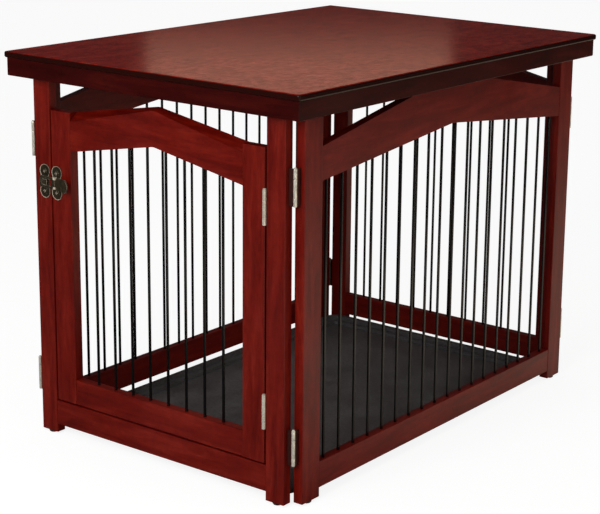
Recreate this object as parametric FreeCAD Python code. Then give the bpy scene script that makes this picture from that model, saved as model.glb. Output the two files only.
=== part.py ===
import FreeCAD, Part
import math
import os

# Dog crate end table: four framed panels with steel rods, hinged at the corners, stand round a floor pan,
# and a cap-shaped table top drops over them. The front (short) panel holds a door with a latch.
# Millimetres. +Z is up, the floor is z = 0, the origin is the middle of the footprint on the floor,
# and the door faces -Y. "Short" panels are front and back, "long" panels are left and right.

Vec = FreeCAD.Vector

# ---- table top ----
TABLE_HEIGHT = 635.0
BOARD_WIDTH = 600.0
BOARD_LENGTH = 850.0
BOARD_THICKNESS = 10.0
BOARD_NOSE_RADIUS = 3.0
BOARD_CORNER_RADIUS = 4.0
BOARD_OVERHANG = 4.0
APRON_HEIGHT = 29.0
APRON_THICKNESS = 17.0
APRON_EDGE_CHAMFER = 1.0
CAP_CLEARANCE = 1.0
CORNER_BLOCK_HEIGHT = 22.0
CORNER_BLOCK_CLEARANCE = 1.5

# ---- panels ----
PANEL_THICKNESS = 17.0
CORNER_GAP = 3.0
POST_WIDTH = 35.0
SIDE_POST_WIDTH = 42.0
POST_EDGE_CHAMFER = 0.8
RAIL_RECESS = 0.7
RAIL_EDGE_CHAMFER = 0.6
BOTTOM_RAIL_HEIGHT = 42.0
BOTTOM_RAIL_CLEAR = 18.0
TENON_LENGTH = 16.0
TENON_THICKNESS = 6.0
TENON_SHOULDER = 6.0
TENON_CLEARANCE = 0.1

# ---- glides ----
GLIDE_RADIUS = 8.0
GLIDE_HEIGHT = 4.0
GLIDE_CROWN = 1.5
GLIDE_SIDES = 12

# ---- arched rails: DROP is from the table top's underside to the rail's peak ----
LONG_ARCH_DROP = 12.0
LONG_ARCH_TOP_RISE = 66.0
LONG_ARCH_LOW_RISE = 36.5
LONG_ARCH_END_DEPTH = 51.5
BACK_ARCH_DROP = 33.0
BACK_ARCH_TOP_RISE = 45.0
BACK_ARCH_LOW_RISE = 24.5
DOOR_ARCH_DROP = 48.0
DOOR_ARCH_TOP_RISE = 30.0
DOOR_ARCH_LOW_RISE = 32.5
DOOR_ARCH_END_DEPTH = 62.5
DOOR_ARCH_BEVEL_END = 14.0
DOOR_ARCH_BEVEL_PEAK = 4.0
PEAK_RADIUS = 25.0

# ---- rods ----
ROD_RADIUS = 2.3
ROD_SIDES = 8
ROD_SOCKET_DEPTH = 10.0
ROD_CLEARANCE = 0.05
ROD_END_CLEARANCE = 0.3
LONG_ROD_COUNT = 18
BACK_ROD_COUNT = 10
DOOR_ROD_COUNT = 8
DOOR_ROD_PITCH = 38.0

# ---- door ----
DOOR_GAP = 3.0
DOOR_STILE_WIDTH = 42.5
DOOR_RAIL_HEIGHT = 42.0

# ---- corner hinges ----
HINGE_LENGTH = 56.0
HINGE_BARREL_RADIUS = 2.8
HINGE_BARREL_SIDES = 8
HINGE_PIN_RADIUS = 1.3
HINGE_PIN_CLEARANCE = 0.05
HINGE_LEAF_THICKNESS = 1.2
HINGE_LEAF_IN_WOOD = 14.0
HINGE_TOP_KNUCKLE = 15.0
HINGE_BOTTOM_KNUCKLE = 12.5
KNUCKLE_GAP = 0.3
BARREL_CLEARANCE = 0.45
KERF_CLEARANCE = 0.1
PIN_HEAD_RADIUS = 2.3
PIN_HEAD_HEIGHT = 1.8
LOWER_HINGE_RAISE = 8.0
UPPER_HINGE_DROP = 104.0

# ---- door hinges ----
DOOR_HINGE_LENGTH = 53.0
DOOR_HINGE_RADIUS = 2.9
DOOR_HINGE_PIN_RADIUS = 1.4
DOOR_HINGE_PROUD = 2.6
DOOR_LEAF_THICKNESS = 1.0
DOOR_LEAF_INLET = 0.35
DOOR_LEAF_REACH = 15.5
DOOR_HINGE_RAISE = 56.0
DOOR_HINGE_DROP = 61.5

# ---- latch ----
LATCH_DROP = 117.0
LATCH_PLATE_HEIGHT = 55.0
LATCH_POST_PLATE_WIDTH = 22.0
LATCH_DOOR_PLATE_WIDTH = 22.0
LATCH_PLATE_MARGIN = 1.0
LATCH_PLATE_THICKNESS = 1.8
LATCH_WAIST = 2.0
STRIKER_WIDTH = 11.0
STRIKER_HEIGHT = 9.0
STRIKER_PROUD = 5.0
STRIKER_ROUND = 2.0
STRIKER_PLAY = 3.2
BAIL_PIVOT_INSET = 8.5
BAIL_LENGTH = 33.0
BAIL_HEIGHT = 19.0
BAIL_BAR = 3.6
BAIL_THICKNESS = 2.2
BAIL_CORNER = 3.0
BAIL_BARREL_RADIUS = 2.5
BAIL_PIN_RADIUS = 1.2
BAIL_STANDOFF = 0.3
BAIL_END_CLEARANCE = 0.3
EAR_HEIGHT = 3.5
TAB_LENGTH = 40.0
TAB_HEIGHT = 21.0
TAB_CHAMFER = 6.0
TAB_ANGLE = 13.0
TAB_THICKNESS = 2.0

# ---- floor pan ----
PAN_SIDE_CLEARANCE = 12.0
PAN_END_CLEARANCE = 4.0
PAN_HEIGHT = 16.0
PAN_CORNER_RADIUS = 30.0
PAN_SHEET = 2.5
PAN_RIM_WIDTH = 9.0
PAN_LEDGE_WIDTH = 12.0
PAN_LEDGE_HEIGHT = 8.5

# ---- worked out from the above ----
BOARD_UNDERSIDE = TABLE_HEIGHT - BOARD_THICKNESS
APRON_OUT_X = BOARD_WIDTH / 2 - BOARD_OVERHANG
APRON_OUT_Y = BOARD_LENGTH / 2 - BOARD_OVERHANG
LONG_FACE = APRON_OUT_X - APRON_THICKNESS - CAP_CLEARANCE
SHORT_FACE = APRON_OUT_Y - APRON_THICKNESS - CAP_CLEARANCE
SHORT_HALF = LONG_FACE - PANEL_THICKNESS - CORNER_GAP
LONG_HALF = SHORT_FACE - PANEL_THICKNESS - CORNER_GAP
SHORT_OPENING = SHORT_HALF - POST_WIDTH
LONG_OPENING = LONG_HALF - SIDE_POST_WIDTH
MID = PANEL_THICKNESS / 2
BOTTOM_RAIL_TOP = BOTTOM_RAIL_CLEAR + BOTTOM_RAIL_HEIGHT
DOOR_HALF = SHORT_OPENING - DOOR_GAP
DOOR_OPENING = DOOR_HALF - DOOR_STILE_WIDTH
DOOR_BOTTOM = BOTTOM_RAIL_TOP + DOOR_GAP
DOOR_RAIL_TOP = DOOR_BOTTOM + DOOR_RAIL_HEIGHT
DOOR_ARCH_TOP_PEAK = BOARD_UNDERSIDE - DOOR_ARCH_DROP
DOOR_STILE_TOP = DOOR_ARCH_TOP_PEAK - DOOR_ARCH_TOP_RISE
DOOR_ARCH_LOW_END = DOOR_STILE_TOP - DOOR_ARCH_END_DEPTH
DOOR_ARCH_LOW_PEAK = DOOR_ARCH_LOW_END + DOOR_ARCH_LOW_RISE
LONG_ARCH_TOP_PEAK = BOARD_UNDERSIDE - LONG_ARCH_DROP
LONG_ARCH_TOP_END = LONG_ARCH_TOP_PEAK - LONG_ARCH_TOP_RISE
LONG_ARCH_LOW_END = LONG_ARCH_TOP_END - LONG_ARCH_END_DEPTH
LONG_ARCH_LOW_PEAK = LONG_ARCH_LOW_END + LONG_ARCH_LOW_RISE
BACK_ARCH_TOP_PEAK = BOARD_UNDERSIDE - BACK_ARCH_DROP
BACK_ARCH_TOP_END = BACK_ARCH_TOP_PEAK - BACK_ARCH_TOP_RISE
BACK_ARCH_LOW_END = BACK_ARCH_TOP_END - LONG_ARCH_END_DEPTH
BACK_ARCH_LOW_PEAK = BACK_ARCH_LOW_END + BACK_ARCH_LOW_RISE
LOWER_HINGE_BASE = BOTTOM_RAIL_TOP + LOWER_HINGE_RAISE
UPPER_HINGE_BASE = BOARD_UNDERSIDE - UPPER_HINGE_DROP - HINGE_LENGTH
DOOR_LOWER_HINGE_BASE = DOOR_BOTTOM + DOOR_HINGE_RAISE
DOOR_UPPER_HINGE_BASE = DOOR_STILE_TOP - DOOR_HINGE_DROP - DOOR_HINGE_LENGTH
LATCH_HEIGHT_Z = DOOR_STILE_TOP - LATCH_DROP
PAN_HALF_WIDTH = LONG_FACE - PANEL_THICKNESS - PAN_SIDE_CLEARANCE
PAN_HALF_LENGTH = SHORT_FACE - PANEL_THICKNESS - PAN_END_CLEARANCE
BARREL_REACH = CORNER_GAP + MID
LATCH_CENTRE_Y = -LATCH_PLATE_THICKNESS - BAIL_STANDOFF - BAIL_BARREL_RADIUS
SIDES = {
    "front": (0, SHORT_FACE),
    "right": (90, LONG_FACE),
    "back": (180, SHORT_FACE),
    "left": (270, LONG_FACE),
}


# ---- small helpers ----
def box(x0, x1, y0, y1, z0, z1):
    return Part.makeBox(x1 - x0, y1 - y0, z1 - z0, Vec(x0, y0, z0))


def rod(radius, x, y, z0, z1):
    return Part.makeCylinder(radius, z1 - z0, Vec(x, y, z0))


def ring_points(radius, sides, x, y, z):
    """Corners of a regular polygon, with a flat facing along each axis."""
    turns = [2 * math.pi * (i + 0.5) / sides for i in range(sides + 1)]
    return [Vec(x + radius * math.cos(t), y + radius * math.sin(t), z) for t in turns]


def bar(radius, sides, x, y, z0, z1):
    """Upright bar with flat sides, for round pieces that repeat often."""
    face = Part.Face(Part.makePolygon(ring_points(radius, sides, x, y, z0)))
    return face.extrude(Vec(0, 0, z1 - z0))


def edges_along(shape, direction):
    """Straight edges that run along one axis."""
    chosen = []
    for edge in shape.Edges:
        start, end = edge.Vertexes[0].Point, edge.Vertexes[-1].Point
        if (end - start).cross(direction).Length < 1e-6 and (end - start).Length > 1e-6:
            chosen.append(edge)
    return chosen


def flip(shape):
    """Mirror a shape across the middle plane of its panel."""
    return shape.mirror(Vec(0, 0, 0), Vec(1, 0, 0))


def place(shape, side):
    """Move a shape from its panel's own frame (outer face at y = 0, facing -Y) to one side of the crate."""
    angle, distance = SIDES[side]
    placed = shape.copy()
    placed.translate(Vec(0, -distance, 0))
    placed.rotate(Vec(0, 0, 0), Vec(0, 0, 1), angle)
    return placed


def save(name, shapes):
    solids = shapes if isinstance(shapes, list) else [shapes]
    shape = solids[0] if len(solids) == 1 else Part.makeCompound(solids)
    shape.exportStep("parts/" + name + ".step")


# ---- wooden members, each in its panel's own frame ----
def mortise(side_x, into, z0, z1):
    """Slot in a post's inner edge for a rail's tenon; into is +1 or -1 along X."""
    depth = TENON_LENGTH + TENON_CLEARANCE
    half = TENON_THICKNESS / 2 + TENON_CLEARANCE
    low, high = z0 + TENON_SHOULDER - TENON_CLEARANCE, z1 - TENON_SHOULDER + TENON_CLEARANCE
    ends = sorted((side_x, side_x + into * depth))
    return box(ends[0], ends[1], MID - half, MID + half, low, high)


def kerf(half, base):
    """Saw cut in a post's outer end that takes a corner hinge's leaf."""
    width = HINGE_LEAF_THICKNESS / 2 + KERF_CLEARANCE
    depth = HINGE_LEAF_IN_WOOD + KERF_CLEARANCE
    return box(half - depth, half + 1, MID - width, MID + width, base - KERF_CLEARANCE,
               base + HINGE_LENGTH + KERF_CLEARANCE)


def make_post(half, opening, arch):
    """Right-hand post of a panel; arch is the (low, top) height of its arched rail's end, or None."""
    post = box(opening, half, 0, PANEL_THICKNESS, GLIDE_HEIGHT, BOARD_UNDERSIDE)
    post = post.makeChamfer(POST_EDGE_CHAMFER, edges_along(post, Vec(0, 0, 1)))
    cuts = [mortise(opening, 1, BOTTOM_RAIL_CLEAR, BOTTOM_RAIL_TOP)]
    if arch:
        cuts.append(mortise(opening, 1, arch[0], arch[1]))
    cuts += [kerf(half, LOWER_HINGE_BASE), kerf(half, UPPER_HINGE_BASE)]
    return post.cut(cuts)


def tenons(opening, z0, z1):
    half = TENON_THICKNESS / 2
    low, high = z0 + TENON_SHOULDER, z1 - TENON_SHOULDER
    right = box(opening - 1, opening + TENON_LENGTH, MID - half, MID + half, low, high)
    return [right, flip(right)]


def rod_places(opening, count, pitch):
    first = -pitch * (count - 1) / 2
    return [first + pitch * i for i in range(count)]


def sockets(places, z0, depth):
    """Blind holes for the rods; z0 gives each hole's mouth, and a negative depth goes down."""
    holes = []
    for x in places:
        mouth = z0(x)
        over = -math.copysign(ROD_RADIUS, depth)
        low, high = sorted((mouth + over, mouth + depth))
        holes.append(bar(ROD_RADIUS + ROD_CLEARANCE, ROD_SIDES, x, MID, low, high))
    return holes


def make_bottom_rail(opening, z0, z1, places):
    rail = box(-opening, opening, RAIL_RECESS, PANEL_THICKNESS - RAIL_RECESS, z0, z1)
    rail = rail.makeChamfer(RAIL_EDGE_CHAMFER, edges_along(rail, Vec(1, 0, 0)))
    rail = rail.fuse(tenons(opening, z0, z1))
    if places:
        rail = rail.cut(sockets(places, lambda x: z1, -ROD_SOCKET_DEPTH))
    return rail


def gable(y, half, end, peak):
    """Edges of a low gable line from the left end to the right end, its peak rounded."""
    slope = math.atan2(peak - end, half)
    back = PEAK_RADIUS * math.tan(slope)
    left = Vec(-back * math.cos(slope), y, peak - back * math.sin(slope))
    right = Vec(back * math.cos(slope), y, left.z)
    crown = Vec(0, y, left.z + PEAK_RADIUS * (1 - math.cos(slope)) / math.cos(slope) * math.cos(slope))
    start, end_point = Vec(-half, y, end), Vec(half, y, end)
    return [Part.makeLine(start, left), Part.Arc(left, crown, right).toShape(),
            Part.makeLine(right, end_point)]


def gable_height(x, half, end, peak):
    return peak - (peak - end) * abs(x) / half


def arch_wire(y, half, low_end, low_peak, top_end, top_peak):
    low = gable(y, half, low_end, low_peak)
    top = gable(y, half, top_end, top_peak)
    right = Part.makeLine(Vec(half, y, low_end), Vec(half, y, top_end))
    left = Part.makeLine(Vec(-half, y, top_end), Vec(-half, y, low_end))
    return Part.Wire(Part.__sortEdges__(low + [right] + top + [left]))


def make_arch_rail(half, low_end, low_peak, top_end, top_peak, places, bevel_end=0.0, bevel_peak=0.0):
    """Gabled top rail; its top can fall towards the outer face, by a bevel that widens to the ends."""
    outer, inner = RAIL_RECESS, PANEL_THICKNESS - RAIL_RECESS
    front = arch_wire(outer, half, low_end, low_peak, top_end - bevel_end, top_peak - bevel_peak)
    rear = arch_wire(inner, half, low_end, low_peak, top_end, top_peak)
    rail = Part.makeLoft([front, rear], True, True)
    rail = rail.fuse(tenons(half, low_end, top_end - bevel_end))
    mouth = lambda x: gable_height(x, half, low_end, low_peak)
    return rail.cut(sockets(places, mouth, ROD_SOCKET_DEPTH))


def make_rods(places, rail_top, half, low_end, low_peak):
    reach = ROD_SOCKET_DEPTH - ROD_END_CLEARANCE
    rods = []
    for x in places:
        top = gable_height(x, half, low_end, low_peak) + reach
        rods.append(bar(ROD_RADIUS, ROD_SIDES, x, MID, rail_top - reach, top))
    return rods


def make_glide(x):
    """Round glide under a post, narrowing a little where it meets the floor."""
    heights = ((0, GLIDE_RADIUS - GLIDE_CROWN), (GLIDE_CROWN, GLIDE_RADIUS), (GLIDE_HEIGHT, GLIDE_RADIUS))
    rings = [Part.makePolygon(ring_points(radius, GLIDE_SIDES, x, MID, z)) for z, radius in heights]
    return Part.makeLoft(rings, True, True)


# ---- hinges ----
def knuckles(length):
    """Height spans of a barrel: the end knuckles of one leaf, then the middle knuckle of the other."""
    ends = [(0, HINGE_BOTTOM_KNUCKLE), (length - HINGE_TOP_KNUCKLE, length)]
    middle = [(HINGE_BOTTOM_KNUCKLE + KNUCKLE_GAP, length - HINGE_TOP_KNUCKLE - KNUCKLE_GAP)]
    return ends, middle


def make_leaf(spans, barrel, bore, radius, plate_y, thickness, reach, length):
    """A leaf round the Z axis; barrel and bore make its upright bars, and the plate runs towards +X."""
    low_y = plate_y - thickness / 2
    start = radius + BARREL_CLEARANCE
    leaf = box(start, reach, low_y, low_y + thickness, 0, length)
    for z0, z1 in spans:
        leaf = leaf.fuse([barrel(z0, z1), box(0, start + 1, low_y, low_y + thickness, z0, z1)])
    return leaf.cut(bore(-1, length + 1)).removeSplitter()


def make_pin(shank, head):
    """Hinge pin: its head rests on the barrel's top."""
    return shank.fuse(head).removeSplitter()


def corner_hinges():
    """Barrels stand in the open corner squares, where the mid-planes of two panels cross."""
    ends, middle = knuckles(HINGE_LENGTH)
    sides = HINGE_BARREL_SIDES
    barrel = lambda z0, z1: bar(HINGE_BARREL_RADIUS, sides, 0, 0, z0, z1)
    bore = lambda z0, z1: bar(HINGE_PIN_RADIUS + HINGE_PIN_CLEARANCE, sides, 0, 0, z0, z1)
    reach = BARREL_REACH + HINGE_LEAF_IN_WOOD
    sizes = (barrel, bore, HINGE_BARREL_RADIUS, 0, HINGE_LEAF_THICKNESS, reach, HINGE_LENGTH)
    end_leaf, middle_leaf = make_leaf(ends, *sizes), make_leaf(middle, *sizes)
    pin = make_pin(bar(HINGE_PIN_RADIUS, sides, 0, 0, 0, HINGE_LENGTH),
                   bar(PIN_HEAD_RADIUS, sides, 0, 0, HINGE_LENGTH, HINGE_LENGTH + PIN_HEAD_HEIGHT))
    axis_x, axis_y = LONG_FACE - MID, SHORT_FACE - MID
    short_leaves, long_leaves, pins = [], [], []
    for sign_x in (-1, 1):
        for sign_y in (-1, 1):
            for base in (LOWER_HINGE_BASE, UPPER_HINGE_BASE):
                spot = Vec(sign_x * axis_x, sign_y * axis_y, base)
                for shape, angle, group in ((end_leaf, 90 + 90 * sign_x, short_leaves),
                                            (middle_leaf, -90 * sign_y, long_leaves), (pin, 0, pins)):
                    copy = shape.copy()
                    copy.rotate(Vec(0, 0, 0), Vec(0, 0, 1), angle)
                    copy.translate(spot)
                    group.append(copy)
    return short_leaves, long_leaves, pins


def door_hinges():
    """Butt hinges: each leaf is let into the edge that faces the gap, with its barrel in front."""
    ends, middle = knuckles(DOOR_HINGE_LENGTH)
    barrel = lambda z0, z1: rod(DOOR_HINGE_RADIUS, 0, 0, z0, z1)
    bore = lambda z0, z1: rod(DOOR_HINGE_PIN_RADIUS + HINGE_PIN_CLEARANCE, 0, 0, z0, z1)
    inset = DOOR_GAP / 2 + DOOR_LEAF_INLET - DOOR_LEAF_THICKNESS / 2
    sizes = (DOOR_LEAF_THICKNESS, DOOR_HINGE_PROUD + DOOR_LEAF_REACH, DOOR_HINGE_LENGTH)
    frame_leaf = make_leaf(ends, barrel, bore, DOOR_HINGE_RADIUS, -inset, *sizes)
    door_leaf = make_leaf(middle, barrel, bore, DOOR_HINGE_RADIUS, inset, *sizes)
    pin = make_pin(rod(DOOR_HINGE_PIN_RADIUS, 0, 0, 0, DOOR_HINGE_LENGTH),
                   rod(PIN_HEAD_RADIUS, 0, 0, DOOR_HINGE_LENGTH, DOOR_HINGE_LENGTH + PIN_HEAD_HEIGHT))
    groups = ([], [], [])
    for base in (DOOR_LOWER_HINGE_BASE, DOOR_UPPER_HINGE_BASE):
        for shape, group in zip((frame_leaf, door_leaf, pin), groups):
            copy = shape.copy()
            copy.rotate(Vec(0, 0, 0), Vec(0, 0, 1), 90)
            copy.translate(Vec(SHORT_OPENING - DOOR_GAP / 2, -DOOR_HINGE_PROUD, base))
            group.append(copy)
    return groups


def leaf_inlet(edge_x, toward, base):
    """Shallow pocket in an edge, where a door hinge's leaf lies."""
    ends = sorted((edge_x - toward, edge_x + toward * DOOR_LEAF_INLET))
    return box(ends[0], ends[1], -1, DOOR_LEAF_REACH, base, base + DOOR_HINGE_LENGTH)


# ---- latch ----
def plate_outline(x0, x1, z0, z1):
    """Latch plate's outline: a half-round lobe above and below, and a narrow waist between."""
    radius = (x1 - x0) / 2
    mid_x, mid_z = (x0 + x1) / 2, (z0 + z1) / 2
    low, high = z0 + radius, z1 - radius
    edges = [
        Part.Arc(Vec(x0, 0, low), Vec(mid_x, 0, z0), Vec(x1, 0, low)).toShape(),
        Part.Arc(Vec(x1, 0, low), Vec(x1 - LATCH_WAIST, 0, mid_z), Vec(x1, 0, high)).toShape(),
        Part.Arc(Vec(x1, 0, high), Vec(mid_x, 0, z1), Vec(x0, 0, high)).toShape(),
        Part.Arc(Vec(x0, 0, high), Vec(x0 + LATCH_WAIST, 0, mid_z), Vec(x0, 0, low)).toShape(),
    ]
    return Part.Face(Part.Wire(edges))


def make_latch():
    """Latch across the gap between the door and the left post; the bail hangs on the door's plate."""
    gap_post, gap_door = -SHORT_OPENING, -DOOR_HALF
    z0, z1 = LATCH_HEIGHT_Z - LATCH_PLATE_HEIGHT / 2, LATCH_HEIGHT_Z + LATCH_PLATE_HEIGHT / 2
    thick = Vec(0, -LATCH_PLATE_THICKNESS, 0)
    post_x = (gap_post - LATCH_PLATE_MARGIN - LATCH_POST_PLATE_WIDTH, gap_post - LATCH_PLATE_MARGIN)
    door_x = (gap_door + LATCH_PLATE_MARGIN, gap_door + LATCH_PLATE_MARGIN + LATCH_DOOR_PLATE_WIDTH)
    pivot_x = door_x[0] + BAIL_PIVOT_INSET

    post_plate = plate_outline(*post_x, z0, z1).extrude(thick)
    bail_x = pivot_x - BAIL_LENGTH
    striker_x = bail_x + BAIL_BAR + STRIKER_PLAY
    striker = box(striker_x, striker_x + STRIKER_WIDTH,
                  -LATCH_PLATE_THICKNESS - STRIKER_PROUD, -LATCH_PLATE_THICKNESS,
                  LATCH_HEIGHT_Z - STRIKER_HEIGHT / 2, LATCH_HEIGHT_Z + STRIKER_HEIGHT / 2)
    striker = striker.makeFillet(STRIKER_ROUND, edges_along(striker, Vec(0, 1, 0)))

    door_plate = plate_outline(*door_x, z0, z1).extrude(thick)
    axis_y = LATCH_CENTRE_Y
    ear_low = LATCH_HEIGHT_Z - BAIL_HEIGHT / 2
    ears = []
    for low in (ear_low, ear_low + BAIL_HEIGHT - EAR_HEIGHT):
        ears.append(rod(BAIL_BARREL_RADIUS, pivot_x, axis_y, low, low + EAR_HEIGHT))
        ears.append(box(pivot_x - BAIL_BARREL_RADIUS, pivot_x + BAIL_BARREL_RADIUS, axis_y, 0,
                        low, low + EAR_HEIGHT))
    pin_hole = rod(BAIL_PIN_RADIUS + HINGE_PIN_CLEARANCE, pivot_x, axis_y, z0, z1)
    door_plate = door_plate.fuse(ears).cut(pin_hole).removeSplitter()

    pin = rod(BAIL_PIN_RADIUS, pivot_x, axis_y, ear_low, ear_low + BAIL_HEIGHT)
    return post_plate, striker, door_plate, make_bail(pivot_x, axis_y, ear_low), pin


def make_bail(pivot_x, axis_y, ear_low):
    """Loop that drops over the striker, its barrel between the ears, and the thumb tab beyond."""
    low = ear_low + EAR_HEIGHT + BAIL_END_CLEARANCE
    high = ear_low + BAIL_HEIGHT - EAR_HEIGHT - BAIL_END_CLEARANCE
    half = BAIL_THICKNESS / 2
    left = pivot_x - BAIL_LENGTH
    arm = BAIL_BARREL_RADIUS + BAIL_END_CLEARANCE
    loop = box(left, pivot_x - arm, axis_y - half, axis_y + half, ear_low, ear_low + BAIL_HEIGHT)
    loop = loop.makeFillet(BAIL_CORNER, edges_along(loop, Vec(0, 1, 0)))
    window = box(left + BAIL_BAR, pivot_x - arm - BAIL_BAR, axis_y - half - 1, axis_y + half + 1,
                 ear_low + BAIL_BAR, ear_low + BAIL_HEIGHT - BAIL_BAR)
    window = window.makeFillet(BAIL_CORNER / 2, edges_along(window, Vec(0, 1, 0)))
    neck = box(pivot_x - arm - BAIL_BAR / 2, pivot_x, axis_y - half, axis_y + half, low, high)
    barrel = rod(BAIL_BARREL_RADIUS, pivot_x, axis_y, low, high)

    reach = TAB_LENGTH
    z0, z1 = LATCH_HEIGHT_Z - TAB_HEIGHT / 2, LATCH_HEIGHT_Z + TAB_HEIGHT / 2
    root = arm + 1
    points = [Vec(0, 0, low), Vec(root, 0, low), Vec(root + TAB_CHAMFER, 0, z0),
              Vec(reach - TAB_CHAMFER, 0, z0), Vec(reach, 0, LATCH_HEIGHT_Z),
              Vec(reach - TAB_CHAMFER, 0, z1), Vec(root + TAB_CHAMFER, 0, z1), Vec(root, 0, high),
              Vec(0, 0, high)]
    tab = Part.Face(Part.makePolygon(points + points[:1])).extrude(Vec(0, TAB_THICKNESS, 0))
    tab.translate(Vec(0, -TAB_THICKNESS / 2, 0))
    tab.rotate(Vec(0, 0, 0), Vec(0, 0, 1), -TAB_ANGLE)
    tab.translate(Vec(pivot_x, axis_y, 0))
    bail = loop.cut(window).fuse([neck, barrel, tab])
    hole = rod(BAIL_PIN_RADIUS + HINGE_PIN_CLEARANCE, pivot_x, axis_y, z0 - 1, z1 + 1)
    return bail.cut(hole).removeSplitter()


# ---- table top ----
def make_board():
    board = box(-BOARD_WIDTH / 2, BOARD_WIDTH / 2, -BOARD_LENGTH / 2, BOARD_LENGTH / 2,
                BOARD_UNDERSIDE, TABLE_HEIGHT)
    board = board.makeFillet(BOARD_CORNER_RADIUS, edges_along(board, Vec(0, 0, 1)))
    rims = [e for e in board.Edges if abs(e.Vertexes[0].Point.z - e.Vertexes[-1].Point.z) < 1e-6]
    return board.makeFillet(BOARD_NOSE_RADIUS, rims)


def make_apron(out_across, out_along):
    """Mitred apron along X: out_along is half its length, out_across its outer face's distance."""
    outer, inner = -out_across, -out_across + APRON_THICKNESS
    short = out_along - APRON_THICKNESS
    low = BOARD_UNDERSIDE - APRON_HEIGHT
    plan = [Vec(-out_along, outer, low), Vec(out_along, outer, low), Vec(short, inner, low),
            Vec(-short, inner, low)]
    apron = Part.Face(Part.makePolygon(plan + plan[:1])).extrude(Vec(0, 0, APRON_HEIGHT))
    lower = [e for e in edges_along(apron, Vec(1, 0, 0)) if abs(e.Vertexes[0].Point.z - low) < 1e-6]
    return apron.makeChamfer(APRON_EDGE_CHAMFER, lower)


def corner_blocks():
    """Blocks in the cap's corners, between the ends of two panels."""
    size = PANEL_THICKNESS + CORNER_GAP + CAP_CLEARANCE - CORNER_BLOCK_CLEARANCE
    x, y = APRON_OUT_X - APRON_THICKNESS, APRON_OUT_Y - APRON_THICKNESS
    low = BOARD_UNDERSIDE - CORNER_BLOCK_HEIGHT
    blocks = []
    for sign_x in (-1, 1):
        for sign_y in (-1, 1):
            spans = sorted((sign_x * (x - size), sign_x * x)) + sorted((sign_y * (y - size), sign_y * y))
            blocks.append(box(*spans, low, BOARD_UNDERSIDE))
    return blocks


# ---- floor pan ----
def pan_block(inset, z0, z1):
    """Block with rounded corners, inset from the pan's rim; the corners stay concentric."""
    x, y = PAN_HALF_WIDTH - inset, PAN_HALF_LENGTH - inset
    block = box(-x, x, -y, y, z0, z1)
    return block.makeFillet(PAN_CORNER_RADIUS - inset, edges_along(block, Vec(0, 0, 1)))


def make_pan():
    """Moulded tray: an outer flange, a wall down to a ledge, a wall down to a flat floor."""
    ledge_in = PAN_RIM_WIDTH
    floor_in = PAN_RIM_WIDTH + PAN_LEDGE_WIDTH
    outside = pan_block(0, PAN_HEIGHT - PAN_SHEET, PAN_HEIGHT)
    outside = outside.fuse([pan_block(ledge_in - PAN_SHEET, PAN_LEDGE_HEIGHT - PAN_SHEET, PAN_HEIGHT),
                            pan_block(floor_in - PAN_SHEET, 0, PAN_LEDGE_HEIGHT)])
    pan = outside.cut([pan_block(ledge_in, PAN_LEDGE_HEIGHT, PAN_HEIGHT + 1),
                       pan_block(floor_in, PAN_SHEET, PAN_LEDGE_HEIGHT + 1)])
    return pan.removeSplitter()


# ---- build ----
def build_long_panels(glides):
    pitch = 2 * LONG_OPENING / LONG_ROD_COUNT
    places = rod_places(LONG_OPENING, LONG_ROD_COUNT, pitch)
    arch = (LONG_ARCH_LOW_END, LONG_ARCH_TOP_END)
    post = make_post(LONG_HALF, LONG_OPENING, arch)
    bottom = make_bottom_rail(LONG_OPENING, BOTTOM_RAIL_CLEAR, BOTTOM_RAIL_TOP, places)
    top = make_arch_rail(LONG_OPENING, LONG_ARCH_LOW_END, LONG_ARCH_LOW_PEAK, LONG_ARCH_TOP_END,
                         LONG_ARCH_TOP_PEAK, places)
    rods = make_rods(places, BOTTOM_RAIL_TOP, LONG_OPENING, LONG_ARCH_LOW_END, LONG_ARCH_LOW_PEAK)
    glide = make_glide((LONG_HALF + LONG_OPENING) / 2)
    for side, plus, minus in (("right", "back", "front"), ("left", "front", "back")):
        save(side + "_post_" + plus, place(post, side))
        save(side + "_post_" + minus, place(flip(post), side))
        save(side + "_bottom_rail", place(bottom, side))
        save(side + "_arch_rail", place(top, side))
        save(side + "_rods", [place(r, side) for r in rods])
        glides += [place(glide, side), place(flip(glide), side)]


def build_back_panel(glides):
    pitch = 2 * SHORT_OPENING / (BACK_ROD_COUNT + 1)
    places = rod_places(SHORT_OPENING, BACK_ROD_COUNT, pitch)
    post = make_post(SHORT_HALF, SHORT_OPENING, (BACK_ARCH_LOW_END, BACK_ARCH_TOP_END))
    bottom = make_bottom_rail(SHORT_OPENING, BOTTOM_RAIL_CLEAR, BOTTOM_RAIL_TOP, places)
    top = make_arch_rail(SHORT_OPENING, BACK_ARCH_LOW_END, BACK_ARCH_LOW_PEAK, BACK_ARCH_TOP_END,
                         BACK_ARCH_TOP_PEAK, places)
    rods = make_rods(places, BOTTOM_RAIL_TOP, SHORT_OPENING, BACK_ARCH_LOW_END, BACK_ARCH_LOW_PEAK)
    save("back_post_left", place(post, "back"))
    save("back_post_right", place(flip(post), "back"))
    save("back_bottom_rail", place(bottom, "back"))
    save("back_arch_rail", place(top, "back"))
    save("back_rods", [place(r, "back") for r in rods])
    glide = make_glide((SHORT_HALF + SHORT_OPENING) / 2)
    glides += [place(glide, "back"), place(flip(glide), "back")]


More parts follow.
